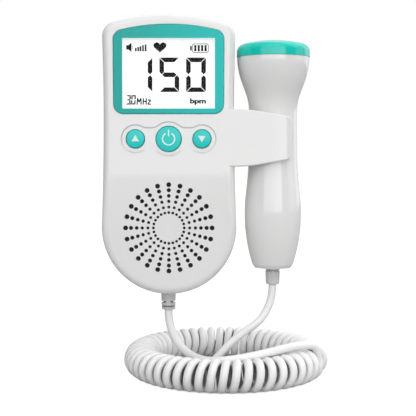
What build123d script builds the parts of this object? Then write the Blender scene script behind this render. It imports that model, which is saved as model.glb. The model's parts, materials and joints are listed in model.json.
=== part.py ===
from build123d import *
import math
import os

os.makedirs("parts", exist_ok=True)

# A hand-held heart-rate monitor with a probe clipped to its right side and a curly cord.
# The origin lies on the flat back, at the housing's mid-height and centre line.
# +X points to the probe, the display faces -Y and +Z is up. All sizes are in millimetres.

# Housing outline, in the front view
housing_height = 132.6
housing_depth = 31.0
bottom_radius = 32.1
side_lean = 2.5  # degrees by which the bottom round runs on into the waisted side
arch_radius = 102.0
arch_half_width = 31.65
arch_corner_radius = 7.0
edge_round = 3.5

# Housing walls and fits
side_wall = 2.2
front_wall = 2.8
back_wall = 2.4
seat_gap = 0.1  # between pieces that are clamped or screwed together
part_gap = 0.3  # between pieces that move or are set in by hand
running_gap = 0.35  # round a button

# Clip arms that hold the probe
arm_play = 0.95  # between an arm and the probe's waist
arm_reach = 7.7  # past the probe's axis
arm_taper_run = 12.0  # the taper starts this far before the probe's axis
arm_bend_run = 2.0
arm_anchor = 5.3  # inside the housing's widest place
arm_top = 21.5
arm_bottom = -5.5
arm_tip_top = 18.3
arm_tip_bottom = -2.0
arm_tip_drop = 1.7
arm_edge_round = 0.7
arm_blend_radius = 60.0
arm_corner_radius = 3.0
arm_lower_corner_radius = 2.2

# Display bezel and the stack behind its window
bezel_bottom = 19.4
bezel_top = 61.3
bezel_arch_radius = 98.0
bezel_half_width = 26.1
bezel_foot_half_width = 25.9
bezel_corner_radius = 4.6
bezel_foot_corner_radius = 4.5
bezel_rise = 0.3
bezel_depth = 1.7
bezel_lip = 0.9
bezel_edge_round = 0.35
recess_edge_round = 0.4  # on the housing, round the bezel
window_width = 43.6
window_height = 33.0
window_centre = 38.4
window_corner_radius = 0.2
window_clearance = 0.5  # from the window to the opening in the wall behind it
lens_margin = 1.3
lens_thickness = 1.0
lcd_margin = 1.3
lcd_thickness = 1.8
backlight_thickness = 2.6
lcd_frame_wall = 0.8

# Buttons and their switches
button_height = 7.6
button_pitch = 15.7
small_button_radius = 4.25
power_button_radius = 5.9
button_rise = 0.9
button_dome = 0.35
button_edge_round = 0.4
button_flange_width = 0.9
button_flange_thickness = 1.0
button_travel = 0.6
plunger_radius = 1.6
switch_width = 6.0
switch_body_height = 2.6
switch_stem_height = 0.7
switch_stem_radius = 1.7
lobe_margin = 2.35
power_lobe_margin = 2.1
lobe_saddle = 5.2
lobe_blend_radius = 5.0
groove_width = 0.55
groove_depth = 0.6
groove_break = 5.6  # width of each lower valley, where the line fades out

# Speaker and grille
grille_centre = -34.5
grille_spokes = 24
grille_rings = [(7.3, 0.66), (9.9, 0.70), (12.6, 0.77), (15.2, 0.86), (17.9, 0.97), (20.5, 1.15)]
basket_radius = 23.0
basket_flange_width = 3.0
basket_flange_thickness = 1.0
basket_wall = 0.8
basket_floor_radius = 10.5
magnet_radius = 10.0
magnet_thickness = 1.2
cone_thickness = 0.4
cone_margin = 0.9  # from the basket's rim to the cone's
cone_clearance = 2.0  # from the basket's floor to the cone
dust_cap_radius = 7.0
dust_cap_height = 1.5
cloth_thickness = 0.25
locating_ring_wall = 1.2
locating_ring_depth = 3.0

# Circuit board
board_gap = 6.2  # from the inner face of the front wall to the board
board_thickness = 1.6
board_half_width = 27.5
board_bottom = -3.0
board_top = 61.8
board_notch = 8.3
post_radius = 2.2
post_spots = [(-25.0, 0.8), (25.0, 0.8), (-13.0, 59.6), (13.0, 59.6)]
board_screw_radius = 0.9
board_screw_head_radius = 2.0
board_screw_head_height = 1.3
board_screw_length = 5.5
chips = [(-2.0, 42.0, 10.0, 10.0), (14.0, 24.0, 7.0, 5.0), (-12.0, 14.0, 5.0, 8.0)]
chip_height = 1.2

# Case screws
case_screw_spots = [(-23.6, 59.7), (23.6, 59.7), (-22.5, -50.0), (22.5, -50.0)]
case_screw_radius = 1.2
case_screw_head_radius = 2.3
case_screw_head_height = 1.7
case_screw_length = 15.0
case_screw_recess = 8.0
case_screw_hole_spare = 1.0
cross_slot_length = 2.6
cross_slot_width = 0.6
front_boss_radius = 2.4
rear_boss_radius = 3.5

# Batteries and their compartment
battery_radius = 7.1
battery_length = 50.0
battery_nub_radius = 2.7
battery_nub_height = 1.0
battery_gap = 0.4
well_side_play = 1.0
well_wall = 1.2
well_bottom = -59.0
well_floor_wall = 1.0
spring_space = 4.4  # for a contact, a spring and play at the ends of a battery
contact_thickness = 0.5
contact_width = 8.0
spring_foot = 1.0
spring_thickness = 0.4

# Battery door
door_inset = 0.7  # from the compartment's upper end to the door
door_foot = 2.3  # from the door to the compartment's lower end
door_overhang = 1.3  # past the compartment's side
door_thickness = 2.1
door_corner_radius = 2.0
hook_inset = 2.8  # from the door's side to a hook's middle
hook_width = 2.4
hook_thickness = 1.3
hook_gap = 0.4
hook_reach = 2.3
hook_neck_height = 3.0
hook_swing_room = 1.0
door_rib_count = 5
door_rib_pitch = 1.8
door_rib_height = 6.0
door_rib_length = 14.0
door_rib_width = 0.8
door_rib_depth = 0.5

# Earphone socket
jack_height = 30.0
jack_bore_radius = 1.8
jack_bore_length = 12.0
jack_collar_radius = 3.0
jack_body_length = 13.0
jack_body_width = 6.0
jack_body_depth = 5.0

# Cord and strain reliefs
cord_radius = 1.95
relief_radius = 3.6
relief_end_radius = 3.3
relief_neck_radius = 2.6
relief_core_radius = 2.45
relief_flange_radius = 4.0
relief_flange_thickness = 1.2
relief_flange_gap = 0.5  # above the housing's curved inner wall
unit_relief_offset = -0.8  # from the housing's centre line
unit_relief_length = 8.8
probe_relief_length = 7.8
relief_slot_width = 0.95
relief_edge_round = 0.5
# rows of slots, by their distance below the boot's top, and the bridges that part the slots
unit_relief_rows = (4.5, 6.7)
unit_bridge_count = 2
unit_bridge_width = 2.2
unit_bridge_angle = 90.0
probe_relief_rows = (0.7,)
probe_bridge_count = 6
probe_bridge_width = 0.6
probe_bridge_angle = 25.0
surface_height = -107.5
ring_centre = (27.3, -12.7)
ring_half_width = 42.2
ring_half_depth = 45.3
coil_outer_radius = 7.8
coil_start_angle = -7.0
coil_sweep = 345.0
arc_share = 0.45

# Probe: its radius at each height of its outline. The head's follow the cap, set in by a step
probe_wall = 2.0
probe_head_height = 47.1
probe_head_step = 0.2
probe_shoulder_top_height = 42.0
probe_shoulder_top_step = 0.6
probe_shoulder_height = 35.3
probe_shoulder_step = 2.35
probe_neck = (12.65, 27.8)
probe_waist = (11.65, 12.0)
probe_grip_start = (12.0, -6.0)
probe_grip = (13.7, -26.5)
probe_tail = (12.0, -45.2)
probe_end = (9.9, -53.1)
probe_bottom = -54.8
probe_end_chamfer = 1.2
cap_radius = 17.7
cap_gap = 0.8  # between the housing's widest place beside the cap and the cap
cap_top = 55.4
cap_dome_radius = 58.0
cap_edge_round = 3.8
cap_face_thickness = 3.4
cap_skirt_depth = 4.0
cap_skirt_wall = 1.8
cap_skirt_draft = 0.3
crystal_radius = 9.5
crystal_thickness = 1.0
crystal_slot = 0.8
backing_radius = 11.0
backing_height = 6.0
probe_board_width = 18.4
probe_board_length = 62.0
probe_board_top = 40.0

# Places that follow from the sizes above
half_depth = housing_depth / 2
half_height = housing_height / 2
front_inner = front_wall - housing_depth
parting = -half_depth
board_front = front_inner + board_gap
board_back = board_front + board_thickness
probe_offset = arch_half_width + cap_gap + cap_radius
arm_inner_half_gap = probe_waist[0] + arm_play
arm_tip = probe_offset + arm_reach
arm_taper_start = probe_offset - arm_taper_run
arm_bend_start = probe_offset - arm_bend_run
arm_root = arch_half_width - arm_anchor
probe_head_radius = cap_radius - probe_head_step
battery_spacing = 2 * battery_radius + battery_gap
well_half_width = battery_spacing / 2 + battery_radius + well_side_play
door_half_width = well_half_width + door_overhang
hook_spot = door_half_width - hook_inset
well_length = battery_length + spring_space
well_top = well_bottom + well_length
door_top = well_top - door_inset
door_length = well_length - door_inset - door_foot
well_floor = -back_wall - part_gap / 2 - 2 * battery_radius


def facing_front(depth):
    """A plane at the given Y, seen from the front: its x is +X and its y is +Z."""
    return Plane.XZ.offset(-depth)


def across(height):
    """A level plane, where a profile is drawn as a half section of a piece that turns about Y."""
    return Plane.XY.offset(height)


def corners_near(sketch, *spots):
    """The corner of a sketch that lies nearest to each given spot."""
    return [sketch.vertices().sort_by_distance(spot)[0] for spot in spots]


def finish(name, builder):
    """Labels a finished piece and writes it."""
    builder.part.label = name
    export_step(builder.part, f"parts/{name}.step")


# Outlines that several pieces share, drawn in the front view

with BuildSketch() as housing_outline:
    with BuildLine():
        arch_angle = math.degrees(math.asin(arch_half_width / arch_radius))
        bottom_round = CenterArc((0, bottom_radius - half_height), bottom_radius, -90, 90 + side_lean)
        arch = CenterArc((0, half_height - arch_radius), arch_radius, 90 - arch_angle, arch_angle)
        side = TangentArc(bottom_round @ 1, arch @ 0, tangent=bottom_round % 1)
        mirror(about=Plane.YZ)
    make_face()
    top_corners = corners_near(
        housing_outline, (-arch_half_width, half_height), (arch_half_width, half_height)
    )
    fillet(top_corners, radius=arch_corner_radius)

with BuildSketch() as bezel_outline:
    with BuildLine():
        bezel_angle = math.degrees(math.asin(bezel_half_width / bezel_arch_radius))
        bezel_centre = (0, bezel_top - bezel_arch_radius)
        bezel_arch = CenterArc(bezel_centre, bezel_arch_radius, 90 - bezel_angle, bezel_angle)
        Polyline(bezel_arch @ 0, (bezel_foot_half_width, bezel_bottom), (0, bezel_bottom))
        mirror(about=Plane.YZ)
    make_face()
    top_corners = corners_near(
        bezel_outline, (-bezel_half_width, bezel_top), (bezel_half_width, bezel_top)
    )
    fillet(top_corners, radius=bezel_corner_radius)
    foot_corners = corners_near(
        bezel_outline, (-bezel_foot_half_width, bezel_bottom), (bezel_foot_half_width, bezel_bottom)
    )
    fillet(foot_corners, radius=bezel_foot_corner_radius)

with BuildSketch() as lobe_outline:
    with Locations((0, button_height)):
        Circle(power_button_radius + power_lobe_margin)
        Rectangle(2 * button_pitch, 2 * lobe_saddle)
    with Locations((-button_pitch, button_height), (button_pitch, button_height)):
        Circle(small_button_radius + lobe_margin)
    saddles = [button_height - lobe_saddle, button_height + lobe_saddle]
    valleys = [v for v in lobe_outline.vertices() if min(abs(v.Y - level) for level in saddles) < 0.01]
    fillet(valleys, radius=lobe_blend_radius)

# the housing's half width at the earphone socket, and the depth of the socket's axis
jack_level = Axis((0, jack_height, 0), (1, 0, 0))
waist_half_width = side.find_intersection_points(jack_level)[0].X
jack_y = board_back + jack_body_depth / 2

with BuildPart() as clip_arm:
    arm_profile_height = arm_top - arm_bottom
    arm_front_tip = (arm_tip, arm_tip_drop - housing_depth)
    with BuildSketch(Plane.XY.offset(arm_bottom)):
        with BuildLine():
            arm_face = Line((arm_root, -housing_depth), (arm_bend_start, -housing_depth))
            arm_bend = TangentArc(arm_face @ 1, arm_front_tip, tangent=arm_face % 1)
            arm_inner_y = parting - arm_inner_half_gap
            Polyline(arm_bend @ 1, (arm_tip, arm_inner_y), (arm_root, arm_inner_y), arm_face @ 0)
        make_face()
    extrude(amount=arm_profile_height)
    with BuildSketch(facing_front(parting)) as arm_outline:
        with BuildLine():
            Polyline(
                (arm_root, arm_bottom),
                (arm_taper_start, arm_bottom),
                (arm_tip, arm_tip_bottom),
                (arm_tip, arm_tip_top),
                (arm_taper_start, arm_top),
                (arm_root, arm_top),
                close=True,
            )
        make_face()
        fillet(corners_near(arm_outline, (arm_tip, arm_tip_top)), radius=arm_corner_radius)
        fillet(corners_near(arm_outline, (arm_tip, arm_tip_bottom)), radius=arm_lower_corner_radius)
        fillet(arm_outline.vertices().group_by(Axis.X)[1], radius=arm_blend_radius)
    extrude(amount=housing_depth, mode=Mode.INTERSECT)
    outer_edges = clip_arm.edges().filter_by(lambda e: e.center().Y < arm_inner_y - arm_edge_round)
    rim_edges = outer_edges.filter_by(Axis.Z, reverse=True).filter_by(
        lambda e: e.center().X > arm_root + arm_edge_round
    )
    fillet(rim_edges, radius=arm_edge_round)


# Housing shells

with BuildPart() as front_shell:
    with BuildSketch(facing_front(parting)):
        add(housing_outline.sketch)
    extrude(amount=half_depth)
    fillet(front_shell.faces().sort_by(Axis.Y)[0].edges(), radius=edge_round)
    add(clip_arm.part)
    with BuildSketch(facing_front(parting)):
        add(housing_outline.sketch)
        offset(amount=-side_wall)
    extrude(amount=half_depth - front_wall, mode=Mode.SUBTRACT)
    # recess for the bezel, and the opening behind its window
    with BuildSketch(facing_front(bezel_depth - housing_depth)):
        add(bezel_outline.sketch)
        offset(amount=seat_gap)
    extrude(amount=bezel_depth, mode=Mode.SUBTRACT)
    recess_rim = front_shell.faces().sort_by(Axis.Y)[0].inner_wires()
    fillet(recess_rim.edges(), radius=recess_edge_round)
    with BuildSketch(facing_front(front_inner)):
        with Locations((0, window_centre)):
            Rectangle(window_width + 2 * window_clearance, window_height + 2 * window_clearance)
    extrude(amount=front_wall, mode=Mode.SUBTRACT)
    # button holes
    with BuildSketch(facing_front(front_inner)):
        with Locations((0, button_height)):
            Circle(power_button_radius + running_gap)
        with Locations((-button_pitch, button_height), (button_pitch, button_height)):
            Circle(small_button_radius + running_gap)
    extrude(amount=front_wall, mode=Mode.SUBTRACT)
    # engraved line round the buttons, open at its two lower valleys
    with BuildSketch(facing_front(groove_depth - housing_depth)):
        add(offset(lobe_outline.sketch, amount=groove_width / 2, mode=Mode.PRIVATE))
        add(
            offset(lobe_outline.sketch, amount=-groove_width / 2, mode=Mode.PRIVATE),
            mode=Mode.SUBTRACT,
        )
        valley_half = (button_pitch - small_button_radius + power_button_radius) / 2
        with Locations((-valley_half, button_height), (valley_half, button_height)):
            Rectangle(
                groove_break,
                2 * lobe_saddle,
                align=(Align.CENTER, Align.MAX),
                mode=Mode.SUBTRACT,
            )
    extrude(amount=groove_depth, mode=Mode.SUBTRACT)
    # speaker grille
    with BuildSketch(facing_front(front_inner)):
        with Locations((0, grille_centre)):
            for ring, hole in grille_rings:
                with PolarLocations(ring, grille_spokes, start_angle=90):
                    Circle(hole)
    extrude(amount=front_wall, mode=Mode.SUBTRACT)
    # ring that locates the speaker
    with BuildSketch(facing_front(front_inner + locating_ring_depth)):
        with Locations((0, grille_centre)):
            Circle(basket_radius + part_gap + locating_ring_wall)
            Circle(basket_radius + part_gap, mode=Mode.SUBTRACT)
    extrude(amount=locating_ring_depth)
    # posts for the board and bosses for the case screws
    with BuildSketch(facing_front(board_front - seat_gap)):
        with Locations(*post_spots):
            Circle(post_radius)
            Circle(board_screw_radius + seat_gap / 2, mode=Mode.SUBTRACT)
    extrude(amount=board_gap - seat_gap)
    with BuildSketch(facing_front(parting)):
        with Locations(*case_screw_spots):
            Circle(front_boss_radius)
    extrude(amount=half_depth - front_wall)
    with BuildSketch(facing_front(parting)):
        with Locations(*case_screw_spots):
            Circle(case_screw_radius + seat_gap / 2)
    screw_hole_length = case_screw_length - half_depth + case_screw_recess + case_screw_hole_spare
    extrude(amount=screw_hole_length, mode=Mode.SUBTRACT)
    # openings shared with the rear shell: cord entry and earphone socket
    with BuildSketch(Plane.XY.offset(-half_height - part_gap)):
        with Locations((unit_relief_offset, parting)):
            Circle(relief_neck_radius + seat_gap)
    extrude(amount=side_wall + 2 * part_gap, mode=Mode.SUBTRACT)
    with BuildSketch(Plane.YZ.offset(-waist_half_width - part_gap)):
        with Locations((jack_y, jack_height)):
            Circle(jack_collar_radius + seat_gap)
    extrude(amount=side_wall + 2 * part_gap, mode=Mode.SUBTRACT)
finish("front_shell", front_shell)

with BuildPart() as rear_shell:
    with BuildSketch(facing_front(0)):
        add(housing_outline.sketch)
    extrude(amount=half_depth)
    fillet(rear_shell.faces().sort_by(Axis.Y)[-1].edges(), radius=edge_round)
    add(mirror(clip_arm.part, about=facing_front(parting), mode=Mode.PRIVATE))
    with BuildSketch(facing_front(-back_wall)):
        add(housing_outline.sketch)
        offset(amount=-side_wall)
    extrude(amount=half_depth - back_wall, mode=Mode.SUBTRACT)
    # battery compartment
    well_middle = (well_top + well_bottom) / 2
    with BuildSketch(facing_front(-back_wall)):
        with Locations((0, well_middle)):
            Rectangle(2 * (well_half_width + well_wall), well_length + 2 * well_wall)
    extrude(amount=-well_floor - back_wall + well_floor_wall)
    with BuildSketch(facing_front(-back_wall)):
        with Locations((0, well_middle)):
            Rectangle(2 * well_half_width, well_length)
    extrude(amount=-well_floor - back_wall, mode=Mode.SUBTRACT)
    # opening for the door, and pockets where its hooks reach behind the wall
    with BuildSketch(facing_front(0)):
        with Locations((0, door_top - door_length / 2)):
            RectangleRounded(
                2 * (door_half_width + part_gap), door_length + 2 * part_gap, door_corner_radius
            )
    extrude(amount=back_wall, mode=Mode.SUBTRACT)
    hook_depth = door_thickness + part_gap + hook_gap + hook_thickness
    with BuildSketch(facing_front(-back_wall)):
        with Locations((-hook_spot, well_top), (hook_spot, well_top)):
            Rectangle(
                hook_width + 2 * part_gap,
                hook_reach + well_wall,
                align=(Align.CENTER, Align.MIN),
            )
    extrude(amount=hook_depth - back_wall + hook_swing_room, mode=Mode.SUBTRACT)
    # bosses for the case screws
    with BuildSketch(facing_front(-back_wall)):
        with Locations(*case_screw_spots):
            Circle(rear_boss_radius)
    extrude(amount=half_depth - back_wall)
    with BuildSketch(facing_front(0)):
        with Locations(*case_screw_spots):
            Circle(case_screw_head_radius + part_gap)
    extrude(amount=case_screw_recess, mode=Mode.SUBTRACT)
    with BuildSketch(facing_front(0)):
        with Locations(*case_screw_spots):
            Circle(case_screw_radius + running_gap)
    extrude(amount=half_depth, mode=Mode.SUBTRACT)
    # openings shared with the front shell
    with BuildSketch(Plane.XY.offset(-half_height - part_gap)):
        with Locations((unit_relief_offset, parting)):
            Circle(relief_neck_radius + seat_gap)
    extrude(amount=side_wall + 2 * part_gap, mode=Mode.SUBTRACT)
    with BuildSketch(Plane.YZ.offset(-waist_half_width - part_gap)):
        with Locations((jack_y, jack_height)):
            Circle(jack_collar_radius + seat_gap)
    extrude(amount=side_wall + 2 * part_gap, mode=Mode.SUBTRACT)
finish("rear_shell", rear_shell)

with BuildPart() as case_screws:
    with BuildSketch(facing_front(case_screw_head_height - case_screw_recess + seat_gap)):
        with Locations(*case_screw_spots):
            Circle(case_screw_head_radius)
    extrude(amount=case_screw_head_height)
    with BuildSketch(facing_front(seat_gap - case_screw_recess)):
        with Locations(*case_screw_spots):
            Circle(case_screw_radius)
    extrude(amount=case_screw_length)
    # cross slot in each head
    with BuildSketch(facing_front(case_screw_head_height - case_screw_recess + seat_gap)):
        with Locations(*case_screw_spots):
            Rectangle(cross_slot_length, cross_slot_width)
            Rectangle(cross_slot_width, cross_slot_length)
    extrude(amount=case_screw_head_height / 2, mode=Mode.SUBTRACT)
finish("case_screws", case_screws)


# Display

with BuildPart() as display_bezel:
    with BuildSketch(facing_front(bezel_depth - housing_depth - seat_gap)):
        add(bezel_outline.sketch)
    extrude(amount=bezel_depth - seat_gap + bezel_rise)
    fillet(display_bezel.faces().sort_by(Axis.Y)[0].edges(), radius=bezel_edge_round)
    with BuildSketch(facing_front(0)):
        with Locations((0, window_centre)):
            RectangleRounded(window_width, window_height, window_corner_radius)
    extrude(amount=housing_depth + bezel_rise, mode=Mode.SUBTRACT)
    # rebate that holds the lens from behind
    lens_front = bezel_lip - bezel_rise - housing_depth
    with BuildSketch(facing_front(0)):
        with Locations((0, window_centre)):
            Rectangle(window_width + 2 * lens_margin, window_height + 2 * lens_margin)
    extrude(amount=-lens_front, mode=Mode.SUBTRACT)
finish("display_bezel", display_bezel)

with BuildPart() as display_lens:
    with BuildSketch(facing_front(lens_front + lens_thickness)):
        with Locations((0, window_centre)):
            Rectangle(
                window_width + 2 * (lens_margin - seat_gap),
                window_height + 2 * (lens_margin - seat_gap),
            )
    extrude(amount=lens_thickness - seat_gap / 2)
finish("display_lens", display_lens)

lcd_width = window_width + 2 * lcd_margin
lcd_height = window_height + 2 * lcd_margin
lcd_front = front_inner + seat_gap
with BuildPart() as lcd_panel:
    with BuildSketch(facing_front(lcd_front + lcd_thickness)):
        with Locations((0, window_centre)):
            Rectangle(lcd_width, lcd_height)
    extrude(amount=lcd_thickness)
finish("lcd_panel", lcd_panel)

backlight_front = lcd_front + lcd_thickness + seat_gap
with BuildPart() as backlight_plate:
    with BuildSketch(facing_front(backlight_front + backlight_thickness)):
        with Locations((0, window_centre)):
            Rectangle(lcd_width, lcd_height)
    extrude(amount=backlight_thickness)
finish("backlight_plate", backlight_plate)

backlight_back = backlight_front + backlight_thickness
with BuildPart() as lcd_frame:
    with BuildSketch(facing_front(board_front - seat_gap)):
        with Locations((0, window_centre)):
            Rectangle(lcd_width + 2 * lcd_frame_wall, lcd_height + 2 * lcd_frame_wall)
    extrude(amount=board_front - lcd_front - seat_gap)
    with BuildSketch(facing_front(backlight_back + seat_gap)):
        with Locations((0, window_centre)):
            Rectangle(lcd_width + seat_gap, lcd_height + seat_gap)
    extrude(amount=board_gap, mode=Mode.SUBTRACT)
finish("lcd_frame", lcd_frame)


# Circuit board

with BuildPart() as main_board:
    with BuildSketch(facing_front(board_back)):
        with Locations((0, (board_top + board_bottom) / 2)):
            Rectangle(2 * board_half_width, board_top - board_bottom)
        with Locations((-board_half_width, board_top), (board_half_width, board_top)):
            Rectangle(2 * board_notch, 2 * board_notch, mode=Mode.SUBTRACT)
        with Locations(*post_spots):
            Circle(board_screw_radius + 2 * seat_gap, mode=Mode.SUBTRACT)
    extrude(amount=board_thickness)
finish("main_board", main_board)

with BuildPart() as board_screws:
    with BuildSketch(facing_front(board_back + seat_gap + board_screw_head_height)):
        with Locations(*post_spots):
            Circle(board_screw_head_radius)
    extrude(amount=board_screw_head_height)
    with BuildSketch(facing_front(board_back + seat_gap)):
        with Locations(*post_spots):
            Circle(board_screw_radius)
    extrude(amount=board_screw_length)
finish("board_screws", board_screws)

with BuildPart() as board_chips:
    with BuildSketch(facing_front(board_back + seat_gap + chip_height)):
        for chip_x, chip_z, chip_width, chip_length in chips:
            with Locations((chip_x, chip_z)):
                Rectangle(chip_width, chip_length)
    extrude(amount=chip_height)
finish("board_chips", board_chips)

button_spots = {
    "volume_up_button": (-button_pitch, small_button_radius),
    "power_button": (0.0, power_button_radius),
    "volume_down_button": (button_pitch, small_button_radius),
}

with BuildPart() as tact_switches:
    switch_places = [(place, button_height) for place, radius in button_spots.values()]
    with BuildSketch(facing_front(board_front - seat_gap)):
        with Locations(*switch_places):
            Rectangle(switch_width, switch_width)
    extrude(amount=switch_body_height)
    with BuildSketch(facing_front(board_front - seat_gap - switch_body_height)):
        with Locations(*switch_places):
            Circle(switch_stem_radius)
    extrude(amount=switch_stem_height)
finish("tact_switches", tact_switches)

# each button: domed cap, retaining flange behind the wall, plunger over its switch
stem_front = board_front - seat_gap - switch_body_height - switch_stem_height
plunger_end = stem_front - button_travel - seat_gap
flange_front = front_inner + part_gap
for button_name, (button_x, button_radius) in button_spots.items():
    cap_front = -housing_depth - button_rise
    turning_axis = Axis((button_x, 0, button_height), (0, 1, 0))
    with BuildPart() as button:
        with BuildSketch(across(button_height)) as button_profile:
            with BuildLine():
                dome = ThreePointArc(
                    (button_x, cap_front - button_dome),
                    (button_x + button_radius / 2, cap_front - button_dome * 3 / 4),
                    (button_x + button_radius, cap_front),
                )
                Polyline(
                    dome @ 1,
                    (button_x + button_radius, flange_front),
                    (button_x + button_radius + button_flange_width, flange_front),
                    (
                        button_x + button_radius + button_flange_width,
                        flange_front + button_flange_thickness,
                    ),
                    (button_x + plunger_radius, flange_front + button_flange_thickness),
                    (button_x + plunger_radius, plunger_end),
                    (button_x, plunger_end),
                    dome @ 0,
                )
            make_face()
            fillet(
                corners_near(button_profile, (button_x + button_radius, cap_front)),
                radius=button_edge_round,
            )
        revolve(axis=turning_axis)
    finish(button_name, button)


# Speaker

speaker_axis = Axis((0, 0, grille_centre), (0, 1, 0))
cloth_back = front_inner + seat_gap / 2 + cloth_thickness
with BuildPart() as speaker_cloth:
    with BuildSketch(facing_front(cloth_back)):
        with Locations((0, grille_centre)):
            Circle(basket_radius)
    extrude(amount=cloth_thickness)
finish("speaker_cloth", speaker_cloth)

flange_face = cloth_back + seat_gap / 2
basket_inner = basket_radius - basket_flange_width
magnet_back = well_floor - well_floor_wall - part_gap
basket_back = magnet_back - magnet_thickness - seat_gap
with BuildPart() as speaker_basket:
    with BuildSketch(across(grille_centre)):
        with BuildLine():
            Polyline(
                (basket_inner, flange_face),
                (basket_radius, flange_face),
                (basket_radius, flange_face + basket_flange_thickness),
                (basket_inner + basket_wall, flange_face + basket_flange_thickness),
                (basket_floor_radius + basket_wall, basket_back),
                (0, basket_back),
                (0, basket_back - basket_wall),
                (basket_floor_radius, basket_back - basket_wall),
                close=True,
            )
        make_face()
    revolve(axis=speaker_axis)
finish("speaker_basket", speaker_basket)

with BuildPart() as speaker_magnet:
    with BuildSketch(facing_front(magnet_back)):
        with Locations((0, grille_centre)):
            Circle(magnet_radius)
    extrude(amount=magnet_thickness)
finish("speaker_magnet", speaker_magnet)

cone_rim = basket_inner - cone_margin
cone_floor = basket_back - basket_wall - cone_clearance
with BuildPart() as speaker_cone:
    with BuildSketch(across(grille_centre)):
        with BuildLine():
            Polyline(
                (0, cone_floor - dust_cap_height),
                (dust_cap_radius, cone_floor),
                (cone_rim, flange_face),
                (cone_rim, flange_face + cone_thickness),
                (dust_cap_radius, cone_floor + cone_thickness),
                (0, cone_floor - dust_cap_height + cone_thickness),
                close=True,
            )
        make_face()
    revolve(axis=speaker_axis)
finish("speaker_cone", speaker_cone)


# Batteries, contacts and door

battery_y = well_floor + battery_radius
battery_x = battery_spacing / 2
upper_end = well_top - contact_thickness - seat_gap
lower_end = well_bottom + contact_thickness + seat_gap
with BuildPart() as battery_left:
    with BuildSketch(Plane.XY.offset(upper_end - battery_length)):
        with Locations((-battery_x, battery_y)):
            Circle(battery_radius)
    extrude(amount=battery_length - battery_nub_height)
    with BuildSketch(Plane.XY.offset(upper_end - battery_nub_height)):
        with Locations((-battery_x, battery_y)):
            Circle(battery_nub_radius)
    extrude(amount=battery_nub_height)
finish("battery_left", battery_left)

with BuildPart() as battery_right:
    with BuildSketch(Plane.XY.offset(lower_end + battery_nub_height)):
        with Locations((battery_x, battery_y)):
            Circle(battery_radius)
    extrude(amount=battery_length - battery_nub_height)
    with BuildSketch(Plane.XY.offset(lower_end)):
        with Locations((battery_x, battery_y)):
            Circle(battery_nub_radius)
    extrude(amount=battery_nub_height)
finish("battery_right", battery_right)

with BuildPart() as battery_contacts:
    with BuildSketch(Plane.XY.offset(well_top - contact_thickness)):
        with Locations((-battery_x, battery_y)):
            Rectangle(contact_width, contact_width)
    extrude(amount=contact_thickness)
    with BuildSketch(Plane.XY.offset(well_bottom)):
        with Locations((battery_x, battery_y)):
            Rectangle(contact_width, contact_width)
    extrude(amount=contact_thickness)
finish("battery_contacts", battery_contacts)

# each leaf spring: a strip on the end wall and a bow that reaches the battery
spring_reach = well_length - battery_length - contact_thickness - 2 * seat_gap - spring_thickness / 2
with BuildPart() as battery_springs:
    for spring_x, wall_z, toward in ((-battery_x, well_bottom, 1), (battery_x, well_top, -1)):
        with BuildSketch(facing_front(battery_y + contact_width / 2)):
            with BuildLine():
                ThreePointArc(
                    (spring_x - contact_width / 2, wall_z + toward * spring_thickness / 2),
                    (spring_x, wall_z + toward * spring_reach),
                    (spring_x + contact_width / 2, wall_z + toward * spring_thickness / 2),
                )
            trace(line_width=spring_thickness)
            with Locations((spring_x, wall_z + toward * spring_thickness / 2)):
                Rectangle(contact_width + 2 * spring_foot, spring_thickness)
        extrude(amount=contact_width)
finish("battery_springs", battery_springs)

with BuildPart() as battery_door:
    with BuildSketch(facing_front(0)):
        with Locations((0, door_top - door_length / 2)):
            RectangleRounded(2 * door_half_width, door_length, door_corner_radius)
    extrude(amount=door_thickness)
    # finger ribs near the lower edge
    with BuildSketch(facing_front(0)):
        with Locations((0, door_top - door_length + door_rib_height)):
            with GridLocations(0, door_rib_pitch, 1, door_rib_count):
                SlotOverall(door_rib_length, door_rib_width)
    extrude(amount=door_rib_depth, mode=Mode.SUBTRACT)
    # hooks: a neck on the inner face and a tongue behind the wall above the opening
    hook_front = -hook_depth
    hook_back = hook_front + hook_thickness
    for side in (-1, 1):
        with BuildSketch(Plane.YZ.offset(side * hook_spot - hook_width / 2)):
            with BuildLine():
                Polyline(
                    (-door_thickness, door_top - hook_neck_height),
                    (hook_front, door_top - hook_neck_height),
                    (hook_front, door_top + hook_reach),
                    (hook_back, door_top + hook_reach),
                    (hook_back, door_top - part_gap),
                    (-door_thickness, door_top - part_gap),
                    close=True,
                )
            make_face()
        extrude(amount=hook_width)
finish("battery_door", battery_door)


# Earphone socket: its collar ends flush with the housing's left side

with BuildPart() as earphone_jack:
    with BuildSketch(Plane.YZ.offset(-waist_half_width)):
        with Locations((jack_y, jack_height)):
            Circle(jack_collar_radius)
    extrude(amount=side_wall + part_gap)
    with BuildSketch(Plane.YZ.offset(-waist_half_width + side_wall + part_gap)):
        with Locations((jack_y, jack_height)):
            Rectangle(jack_body_depth - 2 * seat_gap, jack_body_width)
    extrude(amount=jack_body_length)
    with BuildSketch(Plane.YZ.offset(-waist_half_width)):
        with Locations((jack_y, jack_height)):
            Circle(jack_bore_radius)
    extrude(amount=jack_bore_length, mode=Mode.SUBTRACT)
finish("earphone_jack", earphone_jack)


# Strain reliefs: each one is drawn as a half section hanging from the wall that it grips


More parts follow.
